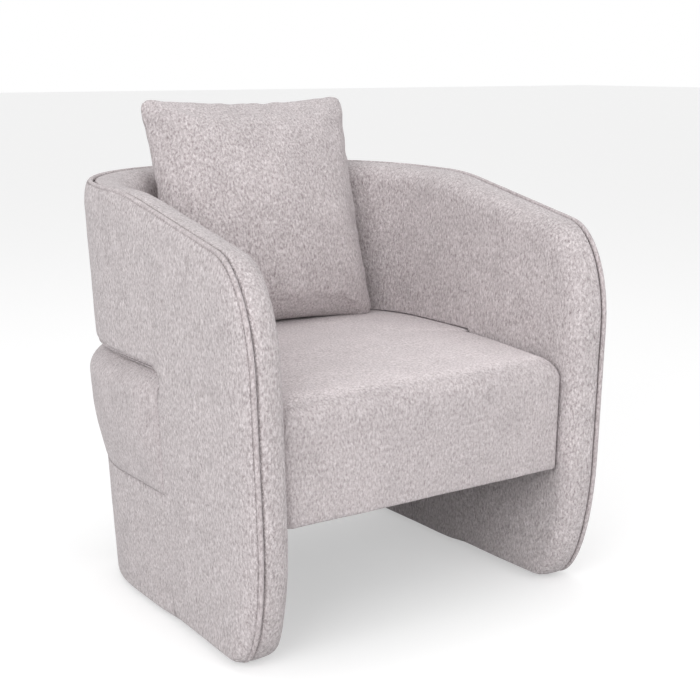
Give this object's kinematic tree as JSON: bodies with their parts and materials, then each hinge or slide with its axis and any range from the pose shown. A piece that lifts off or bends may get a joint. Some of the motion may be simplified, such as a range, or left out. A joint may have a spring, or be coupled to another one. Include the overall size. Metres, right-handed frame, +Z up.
{
  "type": "tub chair",
  "caption": "Upholstered tub chair with a curved shell, arms that run down as legs, a D-shaped seat showing through side windows, and a loose square cushion.",
  "frame": {"origin": "centre of the chair's width and depth, on the floor", "axes": "+Z up, the sitter faces -Y, +X to the right when the chair is seen from the front"},
  "size_m": [0.7826, 0.7708, 0.8816],
  "materials": {
    "cover_fabric": "matte",
    "piping_fabric": "matte",
    "foam": "matte",
    "plywood": "matte",
    "softwood": "matte",
    "hardboard": "matte",
    "spring_steel": "satin",
    "felt": "matte",
    "dust_cloth": "matte",
    "zinc_steel": "satin",
    "glide_plastic": "satin",
    "filling": "matte"
  },
  "bodies": {
    "chair": {"outer_cover": "cover_fabric", "inner_cover": "cover_fabric", "piping": "piping_fabric", "arm_foam_left": "foam", "arm_foam_right": "foam", "back_foam": "foam", "back_gap_roll": "cover_fabric", "side_frame_left": "plywood", "side_frame_right": "plywood", "belt_rib": "plywood", "top_rib": "plywood", "back_posts": "plywood", "back_outer_board": "hardboard", "back_inner_board": "hardboard", "leg_cover_left": "cover_fabric", "leg_cover_right": "cover_fabric", "leg_foam_left": "foam", "leg_foam_right": "foam", "leg_base_left": "plywood", "leg_base_right": "plywood", "leg_top_left": "plywood", "leg_top_right": "plywood", "leg_panel_left": "plywood", "leg_panel_right": "plywood", "seat_front_rail": "softwood", "seat_side_rails": "softwood", "seat_cross_rail": "softwood", "seat_back_rail": "softwood", "seat_corner_blocks": "softwood", "seat_springs": "spring_steel", "spring_clips": "spring_steel", "spring_felt": "felt", "seat_foam": "foam", "box_foam": "foam", "seat_cover": "cover_fabric", "seat_dust_cloth": "dust_cloth", "seat_bolts": "zinc_steel", "seat_bolt_nuts": "zinc_steel", "leg_bolts": "zinc_steel", "glides_left": "glide_plastic", "glides_right": "glide_plastic", "glide_screws": "zinc_steel"},
    "cushion": {"cushion_cover": "cover_fabric", "cushion_filling": "filling"}
  },
  "joints": [
    {"name": "cushion_lift", "type": "slide", "parent": "chair", "child": "cushion", "axis": [0, 0, 1], "range_m": [0, 0.32]}
  ]
}
